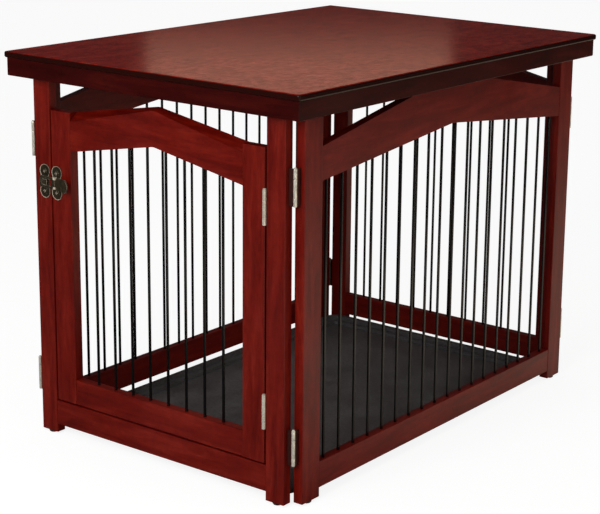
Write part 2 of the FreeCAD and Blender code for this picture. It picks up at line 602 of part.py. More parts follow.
def build_front_panel(glides):
    post = make_post(SHORT_HALF, SHORT_OPENING, None)
    bases = (DOOR_LOWER_HINGE_BASE, DOOR_UPPER_HINGE_BASE)
    right = post.cut([leaf_inlet(SHORT_OPENING, 1, base) for base in bases])
    save("front_post_right", place(right, "front"))
    save("front_post_left", place(flip(post), "front"))
    rail = make_bottom_rail(SHORT_OPENING, BOTTOM_RAIL_CLEAR, BOTTOM_RAIL_TOP, [])
    save("front_bottom_rail", place(rail, "front"))
    glide = make_glide((SHORT_HALF + SHORT_OPENING) / 2)
    glides += [place(glide, "front"), place(flip(glide), "front")]


def build_door():
    places = rod_places(DOOR_OPENING, DOOR_ROD_COUNT, DOOR_ROD_PITCH)
    stile = box(DOOR_OPENING, DOOR_HALF, 0, PANEL_THICKNESS, DOOR_BOTTOM, DOOR_STILE_TOP)
    stile = stile.makeChamfer(POST_EDGE_CHAMFER, edges_along(stile, Vec(0, 0, 1)))
    bevelled_top = DOOR_STILE_TOP - DOOR_ARCH_BEVEL_END
    stile = stile.cut([mortise(DOOR_OPENING, 1, DOOR_BOTTOM, DOOR_RAIL_TOP),
                       mortise(DOOR_OPENING, 1, DOOR_ARCH_LOW_END, bevelled_top)])
    inlets = [leaf_inlet(DOOR_HALF, -1, base) for base in (DOOR_LOWER_HINGE_BASE, DOOR_UPPER_HINGE_BASE)]
    save("door_stile_right", place(stile.cut(inlets), "front"))
    save("door_stile_left", place(flip(stile), "front"))
    bottom = make_bottom_rail(DOOR_OPENING, DOOR_BOTTOM, DOOR_RAIL_TOP, places)
    save("door_bottom_rail", place(bottom, "front"))
    top = make_arch_rail(DOOR_OPENING, DOOR_ARCH_LOW_END, DOOR_ARCH_LOW_PEAK, DOOR_STILE_TOP,
                         DOOR_ARCH_TOP_PEAK, places, DOOR_ARCH_BEVEL_END, DOOR_ARCH_BEVEL_PEAK)
    save("door_arch_rail", place(top, "front"))
    rods = make_rods(places, DOOR_RAIL_TOP, DOOR_OPENING, DOOR_ARCH_LOW_END, DOOR_ARCH_LOW_PEAK)
    save("door_rods", [place(r, "front") for r in rods])


def build_hardware():
    corner_names = ("corner_hinge_short_leaves", "corner_hinge_long_leaves", "corner_hinge_pins")
    for name, group in zip(corner_names, corner_hinges()):
        save(name, group)
    door_names = ("door_hinge_post_leaves", "door_hinge_door_leaves", "door_hinge_pins")
    for name, group in zip(door_names, door_hinges()):
        save(name, [place(shape, "front") for shape in group])
    latch_names = ("latch_post_plate", "latch_striker", "latch_door_plate", "latch_bail", "latch_pin")
    for name, shape in zip(latch_names, make_latch()):
        save(name, place(shape, "front"))


def build_table_top():
    save("tabletop_board", make_board())
    front = make_apron(APRON_OUT_Y, APRON_OUT_X)
    side = make_apron(APRON_OUT_X, APRON_OUT_Y)
    for name, apron, angle in (("apron_front", front, 0), ("apron_right", side, 90),
                               ("apron_back", front, 180), ("apron_left", side, 270)):
        turned = apron.copy()
        turned.rotate(Vec(0, 0, 0), Vec(0, 0, 1), angle)
        save(name, turned)
    save("tabletop_corner_blocks", corner_blocks())


def main():
    os.makedirs("parts", exist_ok=True)
    glides = []
    build_long_panels(glides)
    build_back_panel(glides)
    build_front_panel(glides)
    build_door()
    build_hardware()
    save("glides", glides)
    build_table_top()
    save("floor_pan", make_pan())


main()
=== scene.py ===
import math

import bmesh
import bpy
from mathutils import Euler, Matrix, Vector


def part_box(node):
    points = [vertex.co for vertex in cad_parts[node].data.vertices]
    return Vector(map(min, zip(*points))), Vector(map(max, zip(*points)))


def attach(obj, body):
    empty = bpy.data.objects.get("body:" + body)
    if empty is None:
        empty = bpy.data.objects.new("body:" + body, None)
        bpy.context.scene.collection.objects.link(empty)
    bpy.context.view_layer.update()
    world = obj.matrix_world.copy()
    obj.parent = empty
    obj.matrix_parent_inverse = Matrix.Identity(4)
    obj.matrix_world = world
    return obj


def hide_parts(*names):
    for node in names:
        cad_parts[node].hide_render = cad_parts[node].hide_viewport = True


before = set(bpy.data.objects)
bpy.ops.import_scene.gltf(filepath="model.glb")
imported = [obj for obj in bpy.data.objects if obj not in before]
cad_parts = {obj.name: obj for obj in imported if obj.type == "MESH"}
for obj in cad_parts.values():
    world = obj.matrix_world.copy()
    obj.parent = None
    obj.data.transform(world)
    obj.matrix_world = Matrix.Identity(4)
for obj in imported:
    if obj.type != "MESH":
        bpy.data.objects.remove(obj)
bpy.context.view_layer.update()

# A dog crate end table: stained wooden panels with black steel rods, nickel hinges, an aged brass latch,
# a moulded floor pan and a veneered top. Metres, in the frame's own axes: the door faces -Y, +Z is up.

# ---- where the photograph was taken from ----
IMAGE_WIDTH = 600
CAMERA_PLACE = (1.7219, -2.2123, 1.0359)
CAMERA_HEADING = 35.486      # degrees, turned left from +Y
CAMERA_TILT = -13.763        # degrees, looking down
CAMERA_ROLL = 1.195          # degrees
FOCAL_PIXELS = 1671.5        # focal length for an image that is IMAGE_WIDTH wide
SENSOR_WIDTH = 36.0
SHIFT_RIGHT = -0.1403
SHIFT_UP = -0.0820

# ---- sizes of the pieces that are made here, metres ----
ROD_RADIUS = 0.0023
ROD_SIDES = 20
ROD_FIT = 0.985                # keeps a round rod inside the faceted one that it stands in for
ROD_RIM = 0.0004
SCREW_HEAD_RADIUS = 0.0040
SCREW_HEAD_HEIGHT = 0.0017
SCREW_SLOT_REACH = 0.0024
SCREW_SLOT_WIDTH = 0.0009
SCREW_SLOT_DEPTH = 0.0009
SCREW_INSET = 0.0115
SCREW_CROWN = 0.7              # share of the head's height that is domed
PIN_HEAD_HEIGHT = 0.0018
PIN_CROWN = 0.6
CROWN_STEPS = 4
PIN_SHANK_SHARE = 0.5          # the shank's radius, as a share of the pin's
PIN_HEAD_SHARE = 0.97
HINGE_BARREL_RADIUS = 0.00276
HINGE_LEAF_THICKNESS = 0.0012
HINGE_LEAF_REACH = 0.0255
TOP_KNUCKLE = 0.0150
BOTTOM_KNUCKLE = 0.0125
KNUCKLE_GAP = 0.0003
KNUCKLE_RIM = 0.0004
BARREL_SIDES = 32
PLATE_THICKNESS = 0.0018
PLATE_WAIST = 0.0020
PLATE_RIM = 0.0011
PLATE_RECESS = 0.0006
PLATE_RIM_FRONT = -0.4046      # where the painted highlight on the raised rim starts, along Y
RIM_FADE = 0.0003
PLATE_SIDES = 48
EAR_HEIGHT = 0.0035
EAR_RADIUS = 0.00245
EASED_WOOD_EDGE = 0.0011
EASED_METAL_EDGE = 0.00035
EASED_RAIL_EDGE = 0.0007
EASING_STEPS = 2
SHARP_EDGE_DEGREES = 35
SMOOTH_DEGREES = 40
FLAT_DEGREES = 1
TOUCHING = 0.000001            # points closer than this are the same point
WELD_REACH = 0.00001
FACING_FRONT = Matrix.Rotation(math.radians(90), 4, "X")

# ---- floor and light ----
FLOOR_HALF = 30.0
VIEW_DEPTH = 100.0
PAPER_WHITE = 0.75             # how much of the floor, seen directly, is plain white paper
PAPER_GLOW = 1.16
FILL_LEVEL = 0.34              # how bright the surroundings are as a source of light
ROOM_LEVEL = 0.03              # how bright they look in lacquer and metal


# ---------------------------------------------------------------- modelling helpers
def clear_selection():
    for thing in bpy.context.selected_objects:
        thing.select_set(False)
    bpy.context.view_layer.objects.active = None


def make_active(piece):
    clear_selection()
    piece.select_set(True)
    bpy.context.view_layer.objects.active = piece


def settle(piece, name):
    """Puts a piece's place into its mesh and shades its curved faces smooth."""
    make_active(piece)
    bpy.ops.object.transform_apply(location=True, rotation=True, scale=True)
    bpy.ops.object.shade_smooth_by_angle(angle=math.radians(SMOOTH_DEGREES))
    piece.name = name
    piece.data.name = name
    return piece


def choose_edges(piece, wanted):
    """Selects the edges whose two ends pass a test, and opens edit mode on them."""
    make_active(piece)
    bpy.ops.object.mode_set(mode="EDIT")
    bpy.ops.mesh.select_mode(type="EDGE")
    bpy.ops.mesh.select_all(action="DESELECT")
    mesh = bmesh.from_edit_mesh(piece.data)
    for edge in mesh.edges:
        edge.select = all(wanted(vertex.co) for vertex in edge.verts)
    bmesh.update_edit_mesh(piece.data)


def choose_faces(piece, wanted):
    """Selects the faces whose centre and normal pass a test, and opens edit mode on them."""
    make_active(piece)
    bpy.ops.object.mode_set(mode="EDIT")
    bpy.ops.mesh.select_mode(type="FACE")
    bpy.ops.mesh.select_all(action="DESELECT")
    mesh = bmesh.from_edit_mesh(piece.data)
    for face in mesh.faces:
        face.select = wanted(face.calc_center_median(), face.normal)
    mesh.select_flush_mode()
    bmesh.update_edit_mesh(piece.data)


def close_edit():
    bpy.ops.object.mode_set(mode="OBJECT")


def add_cylinder(radius, low, high, x, y, sides):
    clear_selection()
    bpy.ops.mesh.primitive_cylinder_add(vertices=sides, radius=radius, depth=high - low,
                                        location=(x, y, (low + high) / 2))
    return bpy.context.active_object


def add_block(low, high):
    """A block between two corners."""
    clear_selection()
    centre = [(a + b) / 2 for a, b in zip(low, high)]
    bpy.ops.mesh.primitive_cube_add(size=1, location=centre, scale=[b - a for a, b in zip(low, high)])
    block = bpy.context.active_object
    bpy.ops.object.transform_apply(location=False, rotation=False, scale=True)
    return block


def soften_rims(piece, width):
    """Bevels the end rims of an upright turned piece."""
    top = max(vertex.co.z for vertex in piece.data.vertices)
    bottom = min(vertex.co.z for vertex in piece.data.vertices)
    for level in (top, bottom):
        choose_edges(piece, lambda place: abs(place.z - level) < TOUCHING)
        bpy.ops.mesh.bevel(offset=width, segments=EASING_STEPS, affect="EDGES")
        close_edit()


def joined(pieces, name):
    make_active(pieces[0])
    for piece in pieces[1:]:
        piece.select_set(True)
    if len(pieces) > 1:
        bpy.ops.object.join()
    return settle(pieces[0], name)


def apply_all(piece):
    make_active(piece)
    for modifier in list(piece.modifiers):
        bpy.ops.object.modifier_apply(modifier=modifier.name)


def combine(piece, other, way):
    """Cuts another piece out of one, or welds it on, and takes the other away."""
    step = piece.modifiers.new("combine", "BOOLEAN")
    step.object = other
    step.operation = way
    step.solver = "EXACT"
    apply_all(piece)
    bpy.data.objects.remove(other)


def add_rounding(piece, width):
    """A bevel on every edge that turns sharply."""
    rounding = piece.modifiers.new("eased_edges", "BEVEL")
    rounding.width = width
    rounding.segments = EASING_STEPS
    rounding.limit_method = "ANGLE"
    rounding.angle_limit = math.radians(SHARP_EDGE_DEGREES)
    return rounding


def round_edges(piece, width):
    add_rounding(piece, width)
    apply_all(piece)


def separate_solids(node):
    """Low and high corner of each separate solid in a node of upright pieces, found from its own mesh."""
    mesh = bmesh.new()
    mesh.from_mesh(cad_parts[node].data)
    bmesh.ops.remove_doubles(mesh, verts=mesh.verts, dist=TOUCHING)
    waiting = set(mesh.verts)
    solids = []
    while waiting:
        edge_of_group = [waiting.pop()]
        places = []
        while edge_of_group:
            vertex = edge_of_group.pop()
            places.append(vertex.co.copy())
            for edge in vertex.link_edges:
                other = edge.other_vert(vertex)
                if other in waiting:
                    waiting.remove(other)
                    edge_of_group.append(other)
        low = Vector([min(place[axis] for place in places) for axis in range(3)])
        high = Vector([max(place[axis] for place in places) for axis in range(3)])
        solids.append((low, high))
    mesh.free()
    return sorted(solids, key=lambda ends: tuple(round(value, 4) for value in ends[0]))


# ---------------------------------------------------------------- material helpers
def new_material(name):
    material = bpy.data.materials.new(name)
    material.use_nodes = True
    tree = material.node_tree
    return material, tree, tree.nodes["Principled BSDF"]


def add_node(tree, kind, **values):
    node = tree.nodes.new(kind)
    for name, value in values.items():
        setattr(node, name, value)
    return node


def stretched_place(tree, scale):
    """Object coordinates, scaled a different amount along each axis."""
    source = add_node(tree, "ShaderNodeTexCoord")
    mapping = add_node(tree, "ShaderNodeMapping")
    mapping.inputs["Scale"].default_value = scale
    tree.links.new(source.outputs["Object"], mapping.inputs["Vector"])
    return mapping.outputs["Vector"]


def noise(tree, place, scale, detail=4.0, roughness=0.55, distortion=0.0):
    node = add_node(tree, "ShaderNodeTexNoise")
    node.inputs["Scale"].default_value = scale
    node.inputs["Detail"].default_value = detail
    node.inputs["Roughness"].default_value = roughness
    node.inputs["Distortion"].default_value = distortion
    tree.links.new(place, node.inputs["Vector"])
    return node.outputs["Fac"]


def ramp(tree, value, stops):
    """Colour ramp from (position, colour) stops."""
    node = add_node(tree, "ShaderNodeValToRGB")
    elements = node.color_ramp.elements
    while len(elements) < len(stops):
        elements.new(0.5)
    for element, (position, colour) in zip(elements, stops):
        element.position = position
        element.color = (*colour, 1.0)
    tree.links.new(value, node.inputs["Fac"])
    return node.outputs["Color"]


def spread(tree, value, low, high, from_low=0.3, from_high=0.7):
    """Maps a noise value to a range of numbers."""
    node = add_node(tree, "ShaderNodeMapRange")
    node.inputs["From Min"].default_value = from_low
    node.inputs["From Max"].default_value = from_high
    node.inputs["To Min"].default_value = low
    node.inputs["To Max"].default_value = high
    tree.links.new(value, node.inputs["Value"])
    return node.outputs["Result"]


def blend_colours(tree, way, factor, first, second):
    node = add_node(tree, "ShaderNodeMix", data_type="RGBA", blend_type=way)
    if isinstance(factor, float):
        node.inputs["Factor"].default_value = factor
    else:
        tree.links.new(factor, node.inputs["Factor"])
    for socket, colour in ((node.inputs["A"], first), (node.inputs["B"], second)):
        if isinstance(colour, tuple):
            socket.default_value = (*colour, 1.0)
        else:
            tree.links.new(colour, socket)
    return node.outputs["Result"]


def bump(tree, shader, height, strength, distance):
    node = add_node(tree, "ShaderNodeBump")
    node.inputs["Strength"].default_value = strength
    node.inputs["Distance"].default_value = distance
    tree.links.new(height, node.inputs["Height"])
    tree.links.new(node.outputs["Normal"], shader.inputs["Normal"])


# Mask for the painted highlight along edges.
def edge_highlight_mask(tree, reach):
    """One along a piece's edges and nought on its flats: how far a rounded normal leans from the true one."""
    rounded = add_node(tree, "ShaderNodeBevel", samples=8)
    rounded.inputs["Radius"].default_value = reach
    true = add_node(tree, "ShaderNodeNewGeometry")
    lean = add_node(tree, "ShaderNodeVectorMath", operation="DOT_PRODUCT")
    tree.links.new(rounded.outputs["Normal"], lean.inputs[0])
    tree.links.new(true.outputs["Normal"], lean.inputs[1])
    return spread(tree, lean.outputs["Value"], 1.0, 0.0, 0.86, 0.985)


GRAIN_SCALES = {
    "x": (0.12, 1.0, 1.0),
    "y": (1.0, 0.12, 1.0),
    "z": (1.0, 1.0, 0.12),
}


def stained_wood(name, along, dark, middle, light, shine):
    """Red-stained hardwood under satin lacquer, its grain running along one axis."""
    material, tree, shader = new_material(name)
    grain = stretched_place(tree, GRAIN_SCALES[along])
    plain = stretched_place(tree, (1, 1, 1))
    fibres = noise(tree, grain, 420.0, 5.0, 0.6)
    figure = noise(tree, grain, 60.0, 4.0, 0.6, 0.6)
    mottle = noise(tree, plain, 95.0, 3.0, 0.6)
    blotches = noise(tree, plain, 8.0, 2.0, 0.5)
    colour = ramp(tree, figure, [(0.28, dark), (0.5, middle), (0.74, light)])
    streaks = ramp(tree, fibres, [(0.36, (0.74, 0.70, 0.70)), (0.60, (1.0, 1.0, 1.0))])
    colour = blend_colours(tree, "MULTIPLY", 0.7, colour, streaks)
    specks = ramp(tree, mottle, [(0.34, (0.80, 0.66, 0.60)), (0.62, (1.0, 1.0, 1.0))])
    colour = blend_colours(tree, "MULTIPLY", 0.6, colour, specks)
    cloud = ramp(tree, blotches, [(0.3, (0.80, 0.78, 0.78)), (0.7, (1.0, 1.0, 1.0))])
    colour = blend_colours(tree, "MULTIPLY", 0.7, colour, cloud)
    tree.links.new(colour, shader.inputs["Base Color"])
    tree.links.new(spread(tree, blotches, 0.30, 0.40), shader.inputs["Roughness"])
    shader.inputs["Specular IOR Level"].default_value = shine
    bump(tree, shader, fibres, 0.22, 0.0003)
    return material


def mottled_veneer(name):
    """The top's veneer: fine mottled figure in red-brown under lacquer, with painted shade on the faces that
    turn away from up, its edge and underside.
    """
    material, tree, shader = new_material(name)
    grain = stretched_place(tree, (1.0, 0.5, 1.0))
    plain = stretched_place(tree, (1, 1, 1))
    flecks = noise(tree, grain, 125.0, 4.0, 0.65)
    figure = noise(tree, grain, 36.0, 4.0, 0.6, 0.5)
    clouds = noise(tree, plain, 5.0, 3.0, 0.55)
    colour = ramp(tree, figure, [(0.28, (0.260, 0.0090, 0.0040)), (0.5, (0.370, 0.0170, 0.0080)),
                                 (0.72, (0.460, 0.0400, 0.0190))])
    speckle = ramp(tree, flecks, [(0.36, (0.50, 0.40, 0.36)), (0.62, (1.0, 1.0, 1.0))])
    colour = blend_colours(tree, "MULTIPLY", 0.85, colour, speckle)
    shade = ramp(tree, clouds, [(0.3, (0.80, 0.74, 0.72)), (0.7, (1.0, 1.0, 1.0))])
    colour = blend_colours(tree, "MULTIPLY", 0.8, colour, shade)
    # Painted shade: faces turned away from up, the board's edge and underside, blend to a near-black red as if
    # in shadow.
    facing = add_node(tree, "ShaderNodeNewGeometry")
    axes = add_node(tree, "ShaderNodeSeparateXYZ")
    tree.links.new(facing.outputs["Normal"], axes.inputs["Vector"])
    level = spread(tree, axes.outputs["Z"], 0.0, 1.0, 0.55, 0.97)
    colour = blend_colours(tree, "MIX", level, (0.020, 0.0032, 0.0022), colour)
    tree.links.new(colour, shader.inputs["Base Color"])
    tree.links.new(spread(tree, flecks, 0.24, 0.18), shader.inputs["Roughness"])
    shader.inputs["Specular IOR Level"].default_value = 0.2
    bump(tree, shader, flecks, 0.12, 0.0002)
    return material


def black_enamel():
    """Glossy black enamel on the steel rods, with faint ripples along them."""
    material, tree, shader = new_material("black_enamel")
    runs = noise(tree, stretched_place(tree, (1, 1, 0.1)), 300.0, 3.0)
    colour = ramp(tree, runs, [(0.3, (0.0025, 0.0022, 0.0022)), (0.7, (0.0060, 0.0050, 0.0050))])
    tree.links.new(colour, shader.inputs["Base Color"])
    tree.links.new(spread(tree, runs, 0.14, 0.24), shader.inputs["Roughness"])
    shader.inputs["Specular IOR Level"].default_value = 0.5
    bump(tree, shader, runs, 0.12, 0.0001)
    return material


def worn_metal(name, deep, bright, roughness, grime_scale, metallic):
    """Plated or aged metal: bright where handled, darker grime between."""
    material, tree, shader = new_material(name)
    shader.inputs["Metallic"].default_value = metallic
    place = stretched_place(tree, (1, 1, 1))
    grime = noise(tree, place, grime_scale, 5.0, 0.6)
    scratches = noise(tree, stretched_place(tree, (1, 1, 0.08)), 900.0, 3.0)
    colour = ramp(tree, grime, [(0.32, deep), (0.66, bright)])
    tree.links.new(colour, shader.inputs["Base Color"])
    tree.links.new(spread(tree, grime, roughness[1], roughness[0]), shader.inputs["Roughness"])
    bump(tree, shader, scratches, 0.2, 0.0001)
    return material


def aged_metal(name, old, highlight_colour, reach, rim_front=None):
    """Aged brass, dark on the flats, with a painted highlight along the edges where light would catch them.

    Given the place along Y of a plate's raised rim, the rim gets the painted highlight too.
    """
    material, tree, shader = new_material(name)
    shader.inputs["Metallic"].default_value = 0.4
    place = stretched_place(tree, (1, 1, 1))
    grime = noise(tree, place, 260.0, 5.0, 0.6)
    flats = ramp(tree, grime, [(0.32, tuple(value * 0.35 for value in old)), (0.66, old)])
    edges = ramp(tree, grime, [(0.26, tuple(value * 0.6 for value in highlight_colour)), (0.50, highlight_colour)])
    # Painted highlight: edges are painted bright where a rounded edge would catch the light.
    highlight_mask = edge_highlight_mask(tree, reach)
    # Painted highlight: the proud face of a plate's raised rim is painted bright as well.
    if rim_front:
        axes = add_node(tree, "ShaderNodeSeparateXYZ")
        tree.links.new(place, axes.inputs["Vector"])
        proud = spread(tree, axes.outputs["Y"], 1.0, 0.0, rim_front, rim_front + RIM_FADE)
        either = add_node(tree, "ShaderNodeMath", operation="MAXIMUM")
        tree.links.new(highlight_mask, either.inputs[0])
        tree.links.new(proud, either.inputs[1])
        highlight_mask = either.outputs["Value"]
    tree.links.new(blend_colours(tree, "MIX", highlight_mask, flats, edges), shader.inputs["Base Color"])
    tree.links.new(spread(tree, grime, 0.40, 0.24), shader.inputs["Roughness"])
    bump(tree, shader, grime, 0.3, 0.0001)
    return material


def moulded_plastic(name, deep, pale, roughness):
    """Dark moulded plastic with a leathery texture."""
    material, tree, shader = new_material(name)
    place = stretched_place(tree, (1, 1, 1))
    leather = noise(tree, place, 260.0, 3.0, 0.5)
    clouds = noise(tree, place, 14.0, 2.0)
    colour = ramp(tree, clouds, [(0.3, deep), (0.7, pale)])
    grit = ramp(tree, leather, [(0.38, (0.6, 0.6, 0.6)), (0.6, (1.0, 1.0, 1.0))])
    colour = blend_colours(tree, "MULTIPLY", 0.7, colour, grit)
    tree.links.new(colour, shader.inputs["Base Color"])
    tree.links.new(spread(tree, clouds, *roughness), shader.inputs["Roughness"])
    shader.inputs["Specular IOR Level"].default_value = 0.5
    bump(tree, shader, leather, 0.5, 0.0008)
    return material


# ---------------------------------------------------------------- finishes
PANEL_RED = ((0.115, 0.0026, 0.0006), (0.185, 0.0056, 0.0014), (0.265, 0.0150, 0.0050))
# Painted highlight: the bright colour given to brass edges and plate rims where light would catch them.
BRASS_HIGHLIGHT = (0.95, 0.82, 0.62)
APRON_RED = ((0.028, 0.0008, 0.0004), (0.050, 0.0016, 0.0008), (0.080, 0.0045, 0.0020))

panel_wood = {axis: stained_wood("panel_wood_along_" + axis, axis, *PANEL_RED, 0.3) for axis in "xyz"}
apron_wood = {axis: stained_wood("apron_wood_along_" + axis, axis, *APRON_RED, 0.2) for axis in "xy"}
top_veneer = mottled_veneer("top_veneer")
rod_enamel = black_enamel()
satin_nickel = worn_metal("satin_nickel", (0.60, 0.54, 0.44), (0.95, 0.89, 0.76), (0.18, 0.32), 160.0, 0.4)
# Painted shade: near-black red-brown on the corner hinge leaves, standing in for the shade of the narrow
# corner gaps rather than the leaves' own metal colour.
painted_shade_steel = worn_metal("painted_shade_steel", (0.022, 0.0040, 0.0030), (0.050, 0.0090, 0.0060), (0.35, 0.5),
                           220.0, 0.0)
aged_brass = aged_metal("aged_brass", (0.075, 0.056, 0.030), BRASS_HIGHLIGHT, 0.0009)
plate_brass = aged_metal("plate_brass", (0.060, 0.046, 0.026), BRASS_HIGHLIGHT, 0.0006, PLATE_RIM_FRONT)
pan_plastic = moulded_plastic("pan_plastic", (0.074, 0.069, 0.069), (0.130, 0.122, 0.122), (0.42, 0.55))
glide_plastic = moulded_plastic("glide_plastic", (0.030, 0.020, 0.016), (0.060, 0.040, 0.034), (0.35, 0.5))


def dress(node, material):
    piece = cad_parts[node]
    piece.data.materials.clear()
    piece.data.materials.append(material)
    return piece


def ease_edges(node, width):
    """Rounds a node's sharp edges with modifiers; its own mesh stays as it is."""
    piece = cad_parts[node]
    weld = piece.modifiers.new("weld", "WELD")
    weld.merge_threshold = WELD_REACH
    rounding = add_rounding(piece, width)
    rounding.harden_normals = True
    rounding.miter_outer = "MITER_ARC"


def finish_wood():
    upright = [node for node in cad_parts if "_post_" in node and "latch" not in node
               and "hinge" not in node] + ["door_stile_left", "door_stile_right"]
    for node in upright:
        dress(node, panel_wood["z"])
        ease_edges(node, EASED_WOOD_EDGE)
    rails_across = ["front_bottom_rail", "back_bottom_rail", "back_arch_rail", "door_bottom_rail",
                    "door_arch_rail"]
    rails_along = ["left_bottom_rail", "left_arch_rail", "right_bottom_rail", "right_arch_rail"]
    for node in rails_across:
        dress(node, panel_wood["x"])
        ease_edges(node, EASED_RAIL_EDGE)
    for node in rails_along:
        dress(node, panel_wood["y"])
        ease_edges(node, EASED_RAIL_EDGE)
    for node in ("apron_front", "apron_back"):
        dress(node, apron_wood["x"])
    for node in ("apron_left", "apron_right"):
        dress(node, apron_wood["y"])
    dress("tabletop_corner_blocks", panel_wood["z"])
    dress("tabletop_board", top_veneer)


def finish_hardware():
    for node in ("door_hinge_post_leaves", "door_hinge_door_leaves", "door_hinge_pins"):
        dress(node, satin_nickel)
    for node in ("latch_striker", "latch_bail", "latch_pin"):
        dress(node, aged_brass)
        ease_edges(node, EASED_METAL_EDGE)
    dress("floor_pan", pan_plastic)
    dress("glides", glide_plastic)


# ---------------------------------------------------------------- pieces made here
def hand_over(piece, body, slot, *nodes):
    """Says which body a piece moves with and which nodes it stands in for; slot, what it is made of, is not
    used.
    """
    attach(piece, body)
    if nodes:
        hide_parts(*nodes)


def make_rods(node, body):
    """Round enamelled rods in place of a node's faceted ones, each where the frame has it."""
    rods = []
    for low, high in separate_solids(node):
        x, y = (low.x + high.x) / 2, (low.y + high.y) / 2
        rod = add_cylinder(ROD_RADIUS * ROD_FIT, low.z, high.z, x, y, ROD_SIDES)
        soften_rims(rod, ROD_RIM)
        rods.append(rod)
    piece = joined(rods, node.replace("_rods", "_round_rods"))
    piece.data.materials.append(rod_enamel)
    hand_over(piece, body, "black_rod", node)


def make_knuckle(x, y, low, high):
    knuckle = add_cylinder(HINGE_BARREL_RADIUS, low, high, x, y, BARREL_SIDES)
    soften_rims(knuckle, KNUCKLE_RIM)
    return knuckle


def make_corner_hinges():
    """Round barrels, leaves and headed pins in the open corners between the panels."""
    short_leaves, long_leaves, pins = [], [], []
    half_leaf = HINGE_LEAF_THICKNESS / 2
    clear = HINGE_BARREL_RADIUS + KNUCKLE_GAP
    for low, high in separate_solids("corner_hinge_pins"):
        x, y = (low.x + high.x) / 2, (low.y + high.y) / 2
        bottom, top = low.z, high.z - PIN_HEAD_HEIGHT
        inward_x, inward_y = -math.copysign(1, x), -math.copysign(1, y)
        ends = ((bottom, bottom + BOTTOM_KNUCKLE), (top - TOP_KNUCKLE, top))
        middle = ((bottom + BOTTOM_KNUCKLE + KNUCKLE_GAP, top - TOP_KNUCKLE - KNUCKLE_GAP),)
        for spans, along_x, group in ((ends, True, short_leaves), (middle, False, long_leaves)):
            for near, far, low_z, high_z in [(clear, HINGE_LEAF_REACH, bottom, top)] + [
                    (0, clear, *span) for span in spans]:
                if along_x:
                    sides_x = sorted((x + inward_x * near, x + inward_x * far))
                    sides_y = (y - half_leaf, y + half_leaf)
                else:
                    sides_x = (x - half_leaf, x + half_leaf)
                    sides_y = sorted((y + inward_y * near, y + inward_y * far))
                leaf = add_block((sides_x[0], sides_y[0], low_z), (sides_x[1], sides_y[1], high_z))
                # Painted shade: the leaves take the near-black colour of the corner gap's shade.
                leaf.data.materials.append(painted_shade_steel)
                group.append(leaf)
            for span in spans:
                knuckle = make_knuckle(x, y, *span)
                knuckle.data.materials.append(satin_nickel)
                group.append(knuckle)
        shank = add_cylinder((high.x - low.x) / 2 * PIN_SHANK_SHARE, bottom, top, x, y, BARREL_SIDES)
        head = add_cylinder((high.x - low.x) / 2 * PIN_HEAD_SHARE, top, high.z, x, y, BARREL_SIDES)
        choose_edges(head, lambda place: place.z > PIN_HEAD_HEIGHT / 2 - TOUCHING)
        bpy.ops.mesh.bevel(offset=PIN_HEAD_HEIGHT * PIN_CROWN, segments=CROWN_STEPS, affect="EDGES")
        close_edit()
        for part in (shank, head):
            part.data.materials.append(satin_nickel)
            pins.append(part)
    for group, node in ((short_leaves, "corner_hinge_short_leaves"), (long_leaves, "corner_hinge_long_leaves"),
                        (pins, "corner_hinge_pins")):
        piece = joined(group, node.replace("hinge", "hinge_turned"))
        hand_over(piece, "frame", "nickel", node)


def make_plate(left, right, low, high, back):
    """Latch plate: two round lobes and a narrower waist, with a raised rim round a shallow recess."""
    radius = (right - left) / 2
    centre = (left + right) / 2
    front = back - PLATE_THICKNESS
    plate = add_block((left + PLATE_WAIST, front, low + radius), (right - PLATE_WAIST, back, high - radius))
    for z in (low + radius, high - radius):
        lobe = add_cylinder(radius, -PLATE_THICKNESS / 2, PLATE_THICKNESS / 2, 0, 0, PLATE_SIDES)
        lobe.matrix_world = (Matrix.Translation((centre, back - PLATE_THICKNESS / 2, z))
                             @ FACING_FRONT)
        bpy.ops.object.transform_apply(location=True, rotation=True, scale=False)
        combine(plate, lobe, "UNION")
    make_active(plate)
    bpy.ops.object.transform_apply(location=True, rotation=True, scale=True)
    bpy.ops.object.mode_set(mode="EDIT")
    bpy.ops.mesh.select_all(action="SELECT")
    bpy.ops.mesh.dissolve_limited(angle_limit=math.radians(FLAT_DEGREES))
    close_edit()
    choose_faces(plate, lambda centre_of_face, normal: normal.y < -0.9)
    bpy.ops.mesh.inset(thickness=PLATE_RIM, depth=-PLATE_RECESS)
    close_edit()
    round_edges(plate, EASED_METAL_EDGE)
    return plate


def make_latch_plates():
    """The post's plate, and the door's plate with the two ears that hold the bail's pin."""
    low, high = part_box("latch_post_plate")
    back = high[1]
    plate = joined([make_plate(low[0], high[0], low[2], high[2], back)], "latch_rimmed_post_plate")
    plate.data.materials.append(plate_brass)
    hand_over(plate, "frame", "antique_brass", "latch_post_plate")

    low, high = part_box("latch_door_plate")
    pin_low, pin_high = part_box("latch_pin")
    x, y = (pin_low[0] + pin_high[0]) / 2, (pin_low[1] + pin_high[1]) / 2
    pieces = [make_plate(low[0], high[0], low[2], high[2], back)]
    for ear_low in (pin_low[2], pin_high[2] - EAR_HEIGHT):
        ear = add_cylinder(EAR_RADIUS, ear_low, ear_low + EAR_HEIGHT, x, y, BARREL_SIDES)
        stem = add_block((x - EAR_RADIUS, y, ear_low), (x + EAR_RADIUS, back - PLATE_THICKNESS / 2,
                                                        ear_low + EAR_HEIGHT))
        combine(ear, stem, "UNION")
        round_edges(ear, EASED_METAL_EDGE)
        pieces.append(ear)
    plate = joined(pieces, "latch_rimmed_door_plate")
    plate.data.materials.append(plate_brass)
    hand_over(plate, "door", "antique_brass", "latch_door_plate")


